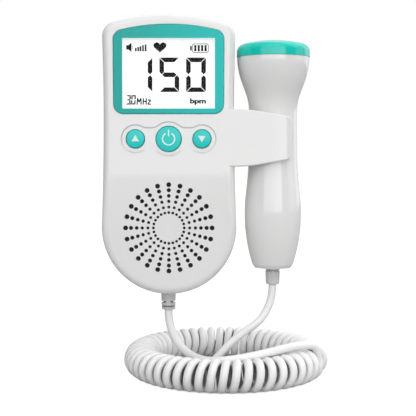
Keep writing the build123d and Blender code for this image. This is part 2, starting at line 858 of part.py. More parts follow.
def strain_relief(axis_x, wall_inside, wall_outside, length, rows, bridges):
    """A boot below a wall, with its neck through the wall, a flange above and rows of slots."""
    boot_top = wall_outside - part_gap
    boot_bottom = wall_outside - length
    with BuildPart() as relief:
        with BuildSketch(facing_front(parting)) as relief_profile:
            with BuildLine():
                Polyline(
                    (axis_x, wall_inside + relief_flange_thickness),
                    (axis_x + relief_flange_radius, wall_inside + relief_flange_thickness),
                    (axis_x + relief_flange_radius, wall_inside),
                    (axis_x + relief_neck_radius, wall_inside),
                    (axis_x + relief_neck_radius, boot_top),
                    (axis_x + relief_radius, boot_top),
                    (axis_x + relief_end_radius, boot_bottom),
                    (axis_x, boot_bottom),
                    close=True,
                )
            make_face()
            fillet(
                corners_near(relief_profile, (axis_x + relief_end_radius, boot_bottom)),
                radius=relief_edge_round,
            )
        revolve(axis=Axis((axis_x, parting, 0), (0, 0, 1)))
        # each row is cut round the core and left whole at its bridges, half a step on from the last
        bridge_count, bridge_width, bridge_angle = bridges
        for row, row_depth in enumerate(rows):
            with BuildSketch(Plane(origin=(axis_x, parting, boot_top - row_depth))):
                Circle(relief_flange_radius)
                Circle(relief_core_radius, mode=Mode.SUBTRACT)
                turned = bridge_angle + row * 180 / bridge_count
                with PolarLocations(relief_flange_radius / 2, bridge_count, turned):
                    Rectangle(relief_flange_radius, bridge_width, mode=Mode.SUBTRACT)
            extrude(amount=-relief_slot_width, mode=Mode.SUBTRACT)
    return relief


unit_relief_end = -half_height - unit_relief_length - part_gap
unit_strain_relief = strain_relief(
    unit_relief_offset,
    side_wall + relief_flange_gap - half_height,
    -half_height,
    unit_relief_length + part_gap,
    unit_relief_rows,
    (unit_bridge_count, unit_bridge_width, unit_bridge_angle),
)
finish("unit_strain_relief", unit_strain_relief)

probe_relief_end = probe_bottom - probe_relief_length - part_gap
probe_strain_relief = strain_relief(
    probe_offset,
    probe_bottom + probe_wall + seat_gap,
    probe_bottom,
    probe_relief_length + part_gap,
    probe_relief_rows,
    (probe_bridge_count, probe_bridge_width, probe_bridge_angle),
)
finish("probe_strain_relief", probe_strain_relief)


# Probe


def probe_section(inset):
    """Half section of the probe's body, drawn in the front view and set in by a wall."""
    stations = [
        (probe_head_radius, probe_head_height),
        (cap_radius - probe_shoulder_top_step, probe_shoulder_top_height),
        (cap_radius - probe_shoulder_step, probe_shoulder_height),
        probe_neck,
        probe_waist,
        probe_grip_start,
        probe_grip,
        probe_tail,
        probe_end,
    ]
    points = [(probe_offset + radius - inset, height) for radius, height in stations]
    floor = probe_bottom + inset
    flank = Spline(*points)
    floor_edge = probe_offset + probe_end[0] - inset - probe_end_chamfer
    Polyline(
        flank @ 1,
        (floor_edge, floor),
        (probe_offset, floor),
        (probe_offset, probe_head_height),
        flank @ 0,
    )


probe_axis = Axis((probe_offset, parting, 0), (0, 0, 1))
probe_middle = facing_front(parting)
for half_name, kept in (("probe_front_shell", Keep.TOP), ("probe_rear_shell", Keep.BOTTOM)):
    with BuildPart() as probe_half:
        with BuildSketch(probe_middle):
            with BuildLine():
                probe_section(0)
            make_face()
        revolve(axis=probe_axis)
        with BuildSketch(probe_middle):
            with BuildLine():
                probe_section(probe_wall)
            make_face()
        revolve(axis=probe_axis, mode=Mode.SUBTRACT)
        with BuildSketch(Plane.XY.offset(probe_bottom - part_gap)):
            with Locations((probe_offset, parting)):
                Circle(relief_neck_radius + seat_gap)
        extrude(amount=probe_wall + 2 * part_gap, mode=Mode.SUBTRACT)
        split(bisect_by=probe_middle, keep=kept)
    finish(half_name, probe_half)

cap_bottom = probe_head_height + seat_gap
cap_face = cap_top - cap_face_thickness
skirt_radius = probe_head_radius - probe_wall - part_gap - cap_skirt_draft
with BuildPart() as probe_head_cap:
    with BuildSketch(probe_middle) as cap_profile:
        with BuildLine():
            dome_drop = cap_dome_radius - math.sqrt(cap_dome_radius**2 - cap_radius**2)
            crown = ThreePointArc(
                (probe_offset, cap_top),
                (
                    probe_offset + cap_radius / 2,
                    cap_top - cap_dome_radius + math.sqrt(cap_dome_radius**2 - cap_radius**2 / 4),
                ),
                (probe_offset + cap_radius, cap_top - dome_drop),
            )
            Polyline(
                crown @ 1,
                (probe_offset + cap_radius, cap_bottom),
                (probe_offset + skirt_radius, cap_bottom),
                (probe_offset + skirt_radius, cap_bottom - cap_skirt_depth),
                (probe_offset + skirt_radius - cap_skirt_wall, cap_bottom - cap_skirt_depth),
                (probe_offset + skirt_radius - cap_skirt_wall, cap_face),
                (probe_offset, cap_face),
                crown @ 0,
            )
        make_face()
        fillet(
            corners_near(cap_profile, (probe_offset + cap_radius, cap_top - dome_drop)),
            radius=cap_edge_round,
        )
    revolve(axis=probe_axis)
finish("probe_head_cap", probe_head_cap)

crystal_top = cap_face - seat_gap
with BuildPart() as piezo_crystals:
    with BuildSketch(Plane.XY.offset(crystal_top - crystal_thickness)):
        with Locations((probe_offset, parting)):
            Circle(crystal_radius)
            Rectangle(crystal_slot, 2 * backing_radius, mode=Mode.SUBTRACT)
    extrude(amount=crystal_thickness)
finish("piezo_crystals", piezo_crystals)

with BuildPart() as crystal_backing:
    backing_top = crystal_top - crystal_thickness - seat_gap
    with BuildSketch(Plane.XY.offset(backing_top - backing_height)):
        with Locations((probe_offset, parting)):
            Circle(backing_radius)
    extrude(amount=backing_height)
finish("crystal_backing", crystal_backing)

with BuildPart() as probe_board:
    with BuildSketch(facing_front(parting + board_thickness / 2)):
        with Locations((probe_offset, probe_board_top - probe_board_length / 2)):
            Rectangle(probe_board_width, probe_board_length)
    extrude(amount=board_thickness)
finish("probe_board", probe_board)


# Cord: the unit's lead, the ring of curls on the surface and the probe's lead

coil_height = surface_height + coil_outer_radius
floor_height = surface_height + cord_radius

unit_lead_points = [
    (unit_relief_offset, parting, unit_relief_end),
    (unit_relief_offset, parting, -81.5),
    (2.2, -22.0, -89.8),
    (8.0, -33.0, -94.4),
    (16.7, -46.0, -95.4),
    (26.2, -51.0, -94.8),
    (37.2, -50.2, -93.0),
    (47.7, -47.0, -90.6),
    (57.2, -42.5, -89.4),
    (64.7, -36.5, -90.0),
]

probe_lead_points = [
    (probe_offset, parting, probe_relief_end),
    (probe_offset, parting, -68.0),
    (48.4, -16.6, -75.5),
    (44.7, -19.2, -81.0),
    (36.2, -21.0, -85.5),
    (28.2, -22.0, -92.0),
    (20.2, -23.5, -101.0),
    (9.2, -25.5, floor_height),
    (2.2, -18.5, floor_height),
    (2.2, -8.5, floor_height),
    (9.2, -1.0, floor_height),
    (21.7, -0.5, floor_height),
    (35.2, -3.5, floor_height),
    (46.7, -8.5, floor_height),
    (56.7, -14.0, floor_height),
    (66.2, -16.5, floor_height),
]


def arc_radii(points):
    """The largest even arc at each corner of a route, from its two runs and its turn."""
    corners = [Vector(*point) for point in points]
    radii = []
    for before, corner, after in zip(corners, corners[1:], corners[2:]):
        arriving = corner - before
        leaving = after - corner
        half_turn = math.radians(arriving.get_angle(leaving)) / 2
        radii.append(arc_share * min(arriving.length, leaving.length) / math.tan(half_turn))
    return radii


for lead_name, points in (("cord_unit_lead", unit_lead_points), ("cord_probe_lead", probe_lead_points)):
    radii = arc_radii(points)
    with BuildPart() as lead:
        with BuildLine() as route:
            FilletPolyline(*points, radius=radii)
        with BuildSketch(Plane(origin=route.line @ 0, z_dir=route.line % 0)):
            Circle(cord_radius)
        sweep(path=route.line)
    finish(lead_name, lead)
    length = route.wires()[0].length
    expected = math.pi * cord_radius**2 * length
    print(lead_name, "length", round(length, 1), "radii", [round(radius, 1) for radius in radii])
    print(lead_name, "volume", round(lead.part.volume, 1), "section times length", round(expected, 1))

with BuildPart() as cord_coil:
    with BuildLine(Plane.XY.offset(coil_height)) as ring:
        EllipticalCenterArc(
            ring_centre,
            ring_half_width,
            ring_half_depth,
            start_angle=coil_start_angle,
            arc_size=coil_sweep,
        )
    with BuildSketch(Plane(origin=ring.line @ 0, z_dir=ring.line % 0)):
        Circle(coil_outer_radius)
    sweep(path=ring.line)
finish("cord_coil", cord_coil)
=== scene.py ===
# %% [markdown]
# A hand-held heart-rate monitor for use in pregnancy: a flat housing with a display, three
# buttons and a speaker grille, a probe clipped to its side, and a curly cord between the two.
# The solid pieces come ready made, in metres, with the display facing -Y and +Z up. This
# lesson gives them their finishes and adds what solids leave out: the figures on the display,
# the printed symbols, the curls of the cord, the light and the camera.

# %% Load the solid pieces
import bmesh
import bpy
import json
import math
from mathutils import Matrix, Vector


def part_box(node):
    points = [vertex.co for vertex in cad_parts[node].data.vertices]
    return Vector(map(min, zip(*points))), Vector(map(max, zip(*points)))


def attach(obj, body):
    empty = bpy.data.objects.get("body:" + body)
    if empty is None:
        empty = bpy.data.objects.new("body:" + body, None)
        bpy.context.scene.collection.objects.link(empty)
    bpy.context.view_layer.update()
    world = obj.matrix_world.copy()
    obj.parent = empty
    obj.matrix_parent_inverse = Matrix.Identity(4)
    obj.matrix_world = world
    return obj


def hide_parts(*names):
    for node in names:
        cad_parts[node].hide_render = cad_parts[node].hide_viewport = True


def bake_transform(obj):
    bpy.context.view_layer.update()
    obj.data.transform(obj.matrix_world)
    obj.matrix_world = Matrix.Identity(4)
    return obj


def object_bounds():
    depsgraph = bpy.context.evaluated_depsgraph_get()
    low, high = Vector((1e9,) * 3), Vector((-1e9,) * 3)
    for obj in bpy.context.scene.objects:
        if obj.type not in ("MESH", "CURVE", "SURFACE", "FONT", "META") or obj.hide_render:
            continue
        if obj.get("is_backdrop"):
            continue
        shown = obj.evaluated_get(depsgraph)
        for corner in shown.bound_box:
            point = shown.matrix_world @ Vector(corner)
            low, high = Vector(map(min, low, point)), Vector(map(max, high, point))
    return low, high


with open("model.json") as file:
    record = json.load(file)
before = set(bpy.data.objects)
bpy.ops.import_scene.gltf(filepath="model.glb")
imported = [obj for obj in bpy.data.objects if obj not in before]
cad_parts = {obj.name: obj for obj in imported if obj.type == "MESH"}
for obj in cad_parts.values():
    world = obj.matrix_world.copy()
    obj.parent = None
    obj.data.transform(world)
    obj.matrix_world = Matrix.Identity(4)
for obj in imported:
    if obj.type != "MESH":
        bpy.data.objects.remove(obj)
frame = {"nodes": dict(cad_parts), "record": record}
cad_low, cad_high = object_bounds()
mm = 0.001
print("pieces", len(frame["nodes"]), "size in mm", [round(x / mm, 1) for x in cad_high - cad_low])

# %% [markdown]
# The camera stands half a metre in front of the monitor, level with its middle and turned
# slightly down, so the housing stays upright and the ring of cord below is seen from above.
# A long lens keeps the housing's sides parallel. A shorter lens nearby would show more of the
# sides and swell the front.

# %% Camera
camera = bpy.data.objects.new("camera", bpy.data.cameras.new("camera"))
bpy.context.scene.collection.objects.link(camera)
bpy.context.scene.camera = camera
camera.data.lens = 90
camera.data.sensor_width = 36
tilt_down = 2.8
camera.location = (18.55 * mm, -522.5 * mm, -1.0 * mm)
camera.rotation_euler = (math.radians(90 - tilt_down), 0, 0)
camera.data.clip_start = 0.05
print("camera", tuple(round(x, 4) for x in camera.location))

# %% [markdown]
# One cord runs from the boot under the housing, through a ring of tight curls on the table,
# to the boot under the probe. A curly cord is wound on a rod and set with heat, so every turn
# has the same size. The cord's line is one smooth spline. The points of its two leads are
# listed here, in millimetres, and the second lead lies on the table for most of its way.

# %% Points of the leads
floor_height = -107.5 * mm
cord_radius = 1.95 * mm
unit_lead = [
    (-0.8, -15.5, -75.4), (-0.8, -15.5, -81.5), (2.8, -22.0, -89.6), (9.0, -33.0, -94.4),
    (16.7, -46.0, -95.2), (26.2, -50.5, -94.1), (37.2, -49.8, -92.5), (47.7, -47.0, -90.6),
    (57.2, -42.6, -89.0), (64.7, -37.0, -89.2), (69.7, -33.3, -90.4),
]
lying = (floor_height + cord_radius) / mm
probe_lead = [
    (50.15, -15.5, -62.9), (50.15, -15.5, -68.0), (47.8, -16.6, -75.0), (43.8, -19.2, -80.8),
    (36.2, -21.0, -85.5), (28.2, -22.0, -92.0), (20.2, -23.5, -101.0), (9.2, -25.5, lying),
    (2.2, -18.5, lying), (2.2, -8.5, lying), (9.2, -1.0, lying), (21.7, -0.5, lying),
    (35.2, -3.5, lying), (46.7, -8.5, lying), (56.7, -14.8, lying), (66.6, -17.8, lying),
]
print("lead points", len(unit_lead), "and", len(probe_lead))

# %% [markdown]
# The ring of curls is an oval. Where its turns are pushed together, at the front left, they
# advance less on each turn. A short table gives the advance in degrees of the ring per turn
# at a few places, and the values between are interpolated. At the end all places are
# stretched by one small factor, so the last turn ends where the second lead begins. A screw
# modifier would make the same curls, but not on a bent axis with a lead at each end.

# %% Points of the curls
ring_centre = Vector((27.3, -12.7, -99.7)) * mm
ring_half_width = 42.2 * mm
ring_half_depth = 45.3 * mm
curl_radius = 6.06 * mm
points_per_turn = 12
curl_step = 360 / points_per_turn
first_curl = 30
curl_point_count = 50 * points_per_turn + 4
ring_start = -22
ring_sweep = 345
advance = [
    (0, 7.3), (38, 7.0), (58, 6.6), (82, 6.5), (103, 6.4), (128, 6.8), (168, 6.9), (213, 7.0),
    (248, 6.8), (278, 6.7), (318, 7.0), (345, 7.1),
]


def advance_at(place):
    """Degrees of the ring that one turn takes, at this many degrees from the first turn."""
    for (near, a), (far, b) in zip(advance, advance[1:]):
        if place <= far:
            return a + (b - a) * (place - near) / (far - near)
    return advance[-1][1]


places = [0]
for i in range(curl_point_count - 1):
    places.append(places[-1] + advance_at(places[-1]) / points_per_turn)
stretch = ring_sweep / (places[-1] + advance_at(places[-1]) / points_per_turn)

curl_points = []
for i, place in enumerate(places):
    around = math.radians(ring_start - place * stretch)
    curl = math.radians(first_curl - i * curl_step)
    middle = Vector((ring_half_width * math.cos(around), ring_half_depth * math.sin(around), 0))
    outward = Vector((ring_half_depth * math.cos(around), ring_half_width * math.sin(around), 0))
    outward.normalize()
    reach = math.cos(curl) * outward + math.sin(curl) * Vector((0, 0, 1))
    curl_points.append(ring_centre + middle + curl_radius * reach)

cord_points = [Vector(p) * mm for p in unit_lead] + curl_points
cord_points += [Vector(p) * mm for p in reversed(probe_lead)]
print("turns", round(curl_point_count / points_per_turn, 1), "points", len(cord_points))

# %% [markdown]
# The same spline gives both the cord's middle line and its round skin: a curve with a bevel
# is turned into a mesh, and a copy with no bevel gives the line that the cord follows.

# %% Cord
def spline_through(name, points, radius):
    """A curve object with one smooth open spline."""
    curve = bpy.data.curves.new(name, "CURVE")
    curve.dimensions = "3D"
    curve.resolution_u = 4
    curve.bevel_depth = radius
    curve.bevel_resolution = 3
    spline = curve.splines.new("NURBS")
    spline.points.add(len(points) - 1)
    for spot, point in zip(spline.points, points):
        spot.co = (*point, 1)
    spline.order_u = 3
    spline.use_endpoint_u = True
    made = bpy.data.objects.new(name, curve)
    bpy.context.scene.collection.objects.link(made)
    return made


def as_mesh(made):
    """The evaluated mesh of a curve or text object, whose own object is removed."""
    bpy.context.view_layer.update()
    graph = bpy.context.evaluated_depsgraph_get()
    mesh = bpy.data.meshes.new_from_object(made.evaluated_get(graph))
    bpy.data.objects.remove(made)
    return mesh


line_mesh = as_mesh(spline_through("cord_line", cord_points, 0))
cord_line = [v.co.copy() for v in line_mesh.vertices]
cord_length = sum((b - a).length for a, b in zip(cord_line, cord_line[1:]))
print("cord length in mm", round(cord_length / mm, 1), "line points", len(cord_line))

cord_mesh = as_mesh(spline_through("cord_skin", cord_points, cord_radius))
for face in cord_mesh.polygons:
    face.use_smooth = True
cord = bpy.data.objects.new("cord", cord_mesh)
bpy.context.scene.collection.objects.link(cord)
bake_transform(cord)
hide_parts("cord_unit_lead", "cord_coil", "cord_probe_lead")
print("cord faces", len(cord_mesh.polygons))

# %% [markdown]
# A finish is a shader: a colour, a gloss and fine relief. What varies over a surface is made
# of noise and sums. A small class wraps an output so that a sum of outputs can be written as
# ordinary Python, and each sign adds its Math node. Joining the nodes by hand in the editor
# gives the same result, but it can't be read line by line.

# %% Sums of shader values
class Wire:
    """An output in a node tree that can be added, taken away, multiplied and divided."""

    def __init__(self, finish, socket):
        self.finish = finish
        self.socket = socket

    def __add__(self, other):
        return self.finish.sum("ADD", self, other)

    def __radd__(self, other):
        return self.finish.sum("ADD", other, self)

    def __sub__(self, other):
        return self.finish.sum("SUBTRACT", self, other)

    def __rsub__(self, other):
        return self.finish.sum("SUBTRACT", other, self)

    def __mul__(self, other):
        return self.finish.sum("MULTIPLY", self, other)

    def __truediv__(self, other):
        return self.finish.sum("DIVIDE", self, other)


class Finish:
    """The nodes of one material or of the world, and the ways to add to them."""

    def __init__(self, owner):
        owner.use_nodes = True
        self.owner = owner
        self.tree = owner.node_tree

    def node(self, kind, settings=None, inputs=None, output=0):
        """Adds a node, makes its settings, then sets or links its inputs."""
        made = self.tree.nodes.new(kind)
        for key, value in (settings or {}).items():
            setattr(made, key, value)
        self.feed(made, inputs or {})
        return Wire(self, made.outputs[output]) if made.outputs else made

    def feed(self, node, inputs):
        """Sets or links the inputs of a node that is there already."""
        for key, value in inputs.items():
            if isinstance(value, Wire):
                self.tree.links.new(value.socket, node.inputs[key])
            else:
                node.inputs[key].default_value = value

    def sum(self, operation, first, second=0.0):
        """One Math node on one or two values or outputs."""
        return self.node("ShaderNodeMath", {"operation": operation}, {0: first, 1: second})

    def span(self, first, second):
        """The distance that two steps at a right angle make."""
        return self.sum("SQRT", first * first + second * second)

    def place(self):
        """Where a point lies on the piece, in metres."""
        return self.node("ShaderNodeTexCoord", output="Object")

    def axes(self, vector):
        """The three parts of a vector."""
        parts = self.node("ShaderNodeSeparateXYZ", inputs={"Vector": vector}).socket.node.outputs
        return [Wire(self, part) for part in parts]

    def grain(self, size, detail=2, stretch=(1, 1, 1)):
        """Noise from 0 to 1 with features of this size, longer where stretch is low."""
        spot = self.node("ShaderNodeMapping", inputs={"Vector": self.place(), "Scale": stretch})
        return self.node(
            "ShaderNodeTexNoise", inputs={"Vector": spot, "Scale": 1 / size, "Detail": detail}
        )

    def rise(self, value, low, high):
        """0 below low, 1 above high, smooth between."""
        return self.node(
            "ShaderNodeMapRange", {"interpolation_type": "SMOOTHSTEP"},
            {"Value": value, "From Min": low, "From Max": high},
        )

    def band(self, value, low, high, soft):
        """1 between low and high, 0 outside, with soft ends."""
        begun = self.rise(value, low - soft, low + soft)
        return begun * (1 - self.rise(value, high - soft, high + soft))

    def mixed(self, share, first, second):
        """A colour between two colours, through a Mix node's colour sockets 6, 7 and 2."""
        ends = [c if isinstance(c, Wire) else (*c, 1) for c in (first, second)]
        return self.node(
            "ShaderNodeMix", {"data_type": "RGBA"}, {0: share, 6: ends[0], 7: ends[1]}, output=2
        )

    def bump(self, height, distance):
        """A normal that rises and falls by a distance with a height from 0 to 1."""
        return self.node(
            "ShaderNodeBump", inputs={"Height": height, "Distance": distance, "Strength": 1.0}
        )

    def surface(self, **inputs):
        """Feeds the shader of a material, where base_color is its Base Color and so on."""
        shader = self.tree.nodes["Principled BSDF"]
        for key, value in inputs.items():
            self.feed(shader, {key.replace("_", " ").title().replace("Ior", "IOR"): value})


print("ways to add nodes", [name for name in vars(Finish) if not name.startswith("_")])

# %% [markdown]
# Most pieces are moulded plastic, and the marks of moulding are alike on all of them: a very
# fine unevenness that breaks up reflections, a gloss that differs a little from place to
# place, and colour that is never quite even. One function gives these from two near colours,
# the gloss, and the size and depth of the unevenness. A texture painted by hand could do
# more, but at this scale the eye only notices the break-up of the highlights.

# %% Moulded plastic
finishes = {}
cloud_size = 20 * mm
gloss_change = 0.4


def moulded(name, colours, roughness, relief, size, **constants):
    """A finish that clouds from one colour to another, with a finely uneven surface."""
    finish = Finish(bpy.data.materials.new(name))
    fine = finish.grain(size)
    finish.colour = finish.mixed(finish.grain(cloud_size), *colours)
    finish.surface(
        base_color=finish.colour,
        roughness=roughness + (fine - 0.5) * (gloss_change * roughness),
        normal=finish.bump(fine, relief),
        **constants,
    )
    finishes[name] = finish.owner
    return finish


housing_look = {
    "colours": ((0.865, 0.865, 0.86), (0.835, 0.835, 0.832)), "roughness": 0.035,
    "relief": 0.0006 * mm, "size": 1.4 * mm, "specular_ior_level": 0.7,
}
moulded("housing_white", **housing_look)
moulded("button_teal", ((0.002, 0.65, 0.61), (0.006, 0.69, 0.65)), 0.3, 0.005 * mm, 0.5 * mm)
moulded("cap_teal", ((0.002, 0.62, 0.51), (0.004, 0.65, 0.54)), 0.05, 0.001 * mm, 1.0 * mm)
moulded("frame_white", ((0.80, 0.80, 0.80), (0.74, 0.74, 0.74)), 0.5, 0.01 * mm, 0.4 * mm)
moulded("light_guide", ((0.90, 0.90, 0.88), (0.86, 0.86, 0.84)), 0.3, 0.004 * mm, 0.8 * mm)
moulded("chip_black", ((0.028, 0.028, 0.030), (0.040, 0.040, 0.042)), 0.55, 0.02 * mm, 0.25 * mm)
moulded("cone_black", ((0.035, 0.035, 0.037), (0.055, 0.055, 0.056)), 0.7, 0.05 * mm, 0.3 * mm)
moulded("basket_grey", ((0.28, 0.28, 0.29), (0.33, 0.33, 0.33)), 0.4, 0.01 * mm, 0.3 * mm)
moulded("ceramic", ((0.76, 0.73, 0.66), (0.70, 0.67, 0.60)), 0.6, 0.02 * mm, 0.2 * mm)
moulded("epoxy_grey", ((0.33, 0.33, 0.34), (0.40, 0.40, 0.41)), 0.45, 0.05 * mm, 1.0 * mm)
print("moulded finishes", len(finishes))

# %% [markdown]
# The surround of the display is a tinted plastic that runs from a deeper teal at the left to a
# lighter teal at the right. The place of a point on the piece tells how far the colour has
# changed.

# %% Surround of the display
bezel = moulded(
    "bezel_teal", ((0.001, 0.40, 0.35), (0.001, 0.42, 0.37)), 0.2, 0.003 * mm, 1.2 * mm,
    specular_ior_level=0.28,
)
bezel_left, bezel_right = -34 * mm, 30 * mm
across = bezel.axes(bezel.place())[0]
bezel.surface(base_color=bezel.mixed(
    bezel.rise(across, bezel_left, bezel_right), bezel.colour, (0.001, 0.57, 0.54)
))
print("surround from", bezel_left / mm, "to", bezel_right / mm)

# %% [markdown]
# Shade is painted into the engraved line round the buttons and into the holes of the grille:
# the white there is coloured grey. Soft-edged masks find these places: just behind the face,
# and near the buttons or near the grille. The painted shade in the line is heavier toward its
# top, and the grille's holes are painted darkest at the middle.

# %% Front of the housing
face = -31 * mm
edge = 0.1 * mm
grille_level, grille_reach = -34.5 * mm, 22.3 * mm
front_finish = moulded("housing_front", **housing_look)
across, inward, upward = front_finish.axes(front_finish.place())
recess = front_finish.band(inward, face + 0.15 * mm, face + 1.6 * mm, 0.08 * mm)
by_buttons = front_finish.band(upward, -3 * mm, 17.5 * mm, edge)
by_buttons = by_buttons * front_finish.band(across, -25 * mm, 25 * mm, edge)
line_shade = 0.1 + front_finish.rise(upward, 2 * mm, 12 * mm) * 0.3
from_grille = front_finish.span(across, upward - grille_level)
by_grille = 1 - front_finish.rise(from_grille, grille_reach - edge, grille_reach + edge)
# painted shade: the engraved line and the grille's holes are coloured dark where shade falls in
# them
painted_shade = by_buttons * line_shade + by_grille * 0.9
painted_shade_colour = front_finish.mixed(
    front_finish.rise(from_grille, 9 * mm, 19 * mm), (0.02, 0.02, 0.021), (0.10, 0.10, 0.105)
)
front_finish.surface(base_color=front_finish.mixed(painted_shade * recess, front_finish.colour, painted_shade_colour))
print("grille's middle at", round(grille_level / mm, 1), "reach", round(grille_reach / mm, 1))

# %% [markdown]
# The boots are a soft grey rubber, darker in their pores. The one under the housing has two
# rows of slots that let it bend, and their floors, close to its axis, are painted dark as shade.

# %% Boots
rubber_look = {
    "colours": ((0.70, 0.70, 0.70), (0.60, 0.60, 0.605)), "roughness": 0.42,
    "relief": 0.03 * mm, "size": 0.35 * mm,
}
moulded("relief_grey", **rubber_look)

boot = moulded("boot_grey", **rubber_look)
boot_across, boot_inward = -0.8 * mm, -15.5 * mm
slot_rows = [(-74.0 * mm, -72.9 * mm), (-71.8 * mm, -70.7 * mm)]
across, inward, upward = boot.axes(boot.place())
from_axis = boot.span(across - boot_across, inward - boot_inward)
lower, upper = [boot.band(upward, low, high, 0.05 * mm) for low, high in slot_rows]
# painted shade: the floors of the slots are coloured dark where shade falls in them
slot_shade = (lower + upper) * (1 - boot.rise(from_axis, 2.6 * mm, 3.3 * mm)) * 0.85
boot.surface(base_color=boot.mixed(slot_shade, boot.colour, (0.05, 0.05, 0.05)))
print("rows of slots", len(slot_rows))

# %% [markdown]
# The cord's jacket is white vinyl. The insides of its curls are painted grey as shade, which
# sets each turn off from the next. A point's distance from the middle line of the ring of curls
# tells the inside of a turn from its outside. The ring is nearly round, so the distance across
# its oval is taken as a share of its half width.

# %% Jacket of the cord
vinyl = moulded(
    "cord_white", ((0.95, 0.95, 0.95), (0.92, 0.92, 0.922)), 0.3, 0.02 * mm, 0.6 * mm
)
across, along, upward = vinyl.axes(vinyl.place())
share = vinyl.span(
    (across - ring_centre.x) / ring_half_width, (along - ring_centre.y) / ring_half_depth
)
from_ring = vinyl.span((share - 1) * ring_half_width, upward - ring_centre.z)
# painted shade: the insides of the curls are coloured grey where shade falls between turns
curl_shade = 1 - vinyl.rise(from_ring, 4.1 * mm, 6.5 * mm)
vinyl.surface(base_color=vinyl.mixed(curl_shade, vinyl.colour, (0.26, 0.26, 0.265)))
cord_mesh.materials.append(finishes["cord_white"])
print("cord finish", cord_mesh.materials[0].name)

# %% [markdown]
# The display is a white reflective sheet behind glass, lit from behind, so it shines a little
# by itself. The glow is also painted light: it is strong enough that the sheet stays white
# where the edge of its window would shade it. Its window is clear plastic. A window with real
# refraction would need many more light paths for the same look, so it is nearly see-through
# instead, with a glossy coat.

# %% Display and window
# painted light in part: the glow keeps the display's sheet white where its window would shade it
moulded(
    "lcd_white", ((0.80, 0.81, 0.80), (0.78, 0.79, 0.785)), 0.35, 0.002 * mm, 1.0 * mm,
    emission_color=(1.0, 1.0, 0.995, 1), emission_strength=0.6,
)
moulded(
    "clear_lens", ((0.10, 0.11, 0.11), (0.08, 0.09, 0.09)), 0.06, 0.001 * mm, 3.0 * mm,
    alpha=0.05, ior=1.49,
)
moulded(
    "figure_black", ((0.004, 0.003, 0.003), (0.008, 0.007, 0.007)), 0.6, 0.002 * mm, 0.5 * mm,
    specular_ior_level=0.1,
)
print("window and display", len(finishes))

# %% [markdown]
# The metal pieces are zinc-plated screws, nickel-plated battery contacts and the batteries'
# printed sleeves. Rolled and turned metal has fine lines along one direction, so its noise is
# stretched thin. Metal shows its surroundings more than its own colour: a high Metallic value
# and an uneven roughness are enough.

# %% Metal
def plated(name, colours, roughness, stretch):
    """A metal with fine lines along the axis whose stretch is lowest."""
    finish = Finish(bpy.data.materials.new(name))
    lines = finish.grain(0.15 * mm, stretch=stretch)
    finish.surface(
        base_color=finish.mixed(lines, *colours),
        roughness=roughness + lines * 0.2,
        metallic=1.0,
        normal=finish.bump(lines, 0.01 * mm),
    )
    finishes[name] = finish.owner


plated("steel", ((0.62, 0.62, 0.60), (0.50, 0.50, 0.49)), 0.25, (1, 1, 1))
plated("nickel", ((0.70, 0.69, 0.66), (0.62, 0.61, 0.58)), 0.15, (1, 1, 0.05))

sleeve = Finish(bpy.data.materials.new("battery_sleeve"))
level = sleeve.axes(sleeve.place())[2]
stripe = sleeve.band(level, -58 * mm, -52 * mm, 0.2 * mm)
scuffs = sleeve.grain(1.5 * mm, detail=6)
sleeve.surface(
    base_color=sleeve.mixed(stripe, (0.10, 0.12, 0.16), (0.45, 0.47, 0.50)),
    roughness=0.22 + scuffs * 0.2,
    normal=sleeve.bump(scuffs, 0.01 * mm),
    coat_weight=0.3,
)
finishes["battery_sleeve"] = sleeve.owner
print("finishes so far", len(finishes))

# %% [markdown]
# The circuit boards are green solder resist over copper. Copper areas show through as a
# lighter green in straight-edged patches, which a brick pattern gives with large bricks. The
# dust cloth behind the grille is a fine black weave, made of two crossed waves.

# %% Boards and cloth
board = Finish(bpy.data.materials.new("board_green"))
upright = board.node(
    "ShaderNodeMapping", inputs={"Vector": board.place(), "Rotation": (math.radians(90), 0, 0)}
)
patches = board.node("ShaderNodeTexBrick", {"offset": 0.35, "squash": 1.6}, {
    "Vector": upright, "Color1": (0.02, 0.17, 0.06, 1), "Color2": (0.03, 0.24, 0.09, 1),
    "Mortar": (0.012, 0.11, 0.04, 1), "Scale": 1 / (9 * mm), "Mortar Size": 0.03,
    "Brick Width": 0.7, "Row Height": 0.4,
})
resist = board.grain(0.4 * mm)
board.surface(
    base_color=patches, roughness=0.3 + resist * 0.15, normal=board.bump(resist, 0.01 * mm)
)
finishes["board_green"] = board.owner

cloth = Finish(bpy.data.materials.new("cloth_black"))
across, _, upward = cloth.axes(cloth.place())
thread = 0.45 * mm
waves = [cloth.sum("SINE", spot * (math.tau / thread)) for spot in (across, upward)]
weave = waves[0] * waves[1] * 0.5 + 0.5
cloth.surface(
    base_color=cloth.mixed(weave, (0.02, 0.02, 0.021), (0.09, 0.09, 0.093)),
    roughness=0.75 + weave * 0.2,
    normal=cloth.bump(weave, 0.1 * mm),
)
finishes["cloth_black"] = cloth.owner
print("finishes", len(finishes))

# %% [markdown]
# The record of the solid pieces says which finish each one has, so one loop dresses them
# all, and only three pieces have a finish of their own instead. Setting each piece's material
# by hand would work as well, and would go wrong sooner.

# %% Dress the solid pieces
own_finish = {
    "front_shell": "housing_front", "probe_head_cap": "cap_teal",
    "unit_strain_relief": "boot_grey",
}
for entry in frame["record"]["subparts"]:
    piece = frame["nodes"][entry["node"]]
    piece.data.materials.clear()
    piece.data.materials.append(finishes[own_finish.get(entry["node"], entry["material_slot"])])

# %% [markdown]
# The figures of a segment display are black shapes inside the glass. Here each shape is a
# thin plate that stands just in front of the white sheet, so it stays sharp at any size. An
# image on the sheet would blur close up. A shape is given by its corners, and extruding the
# face gives the plate its thickness.

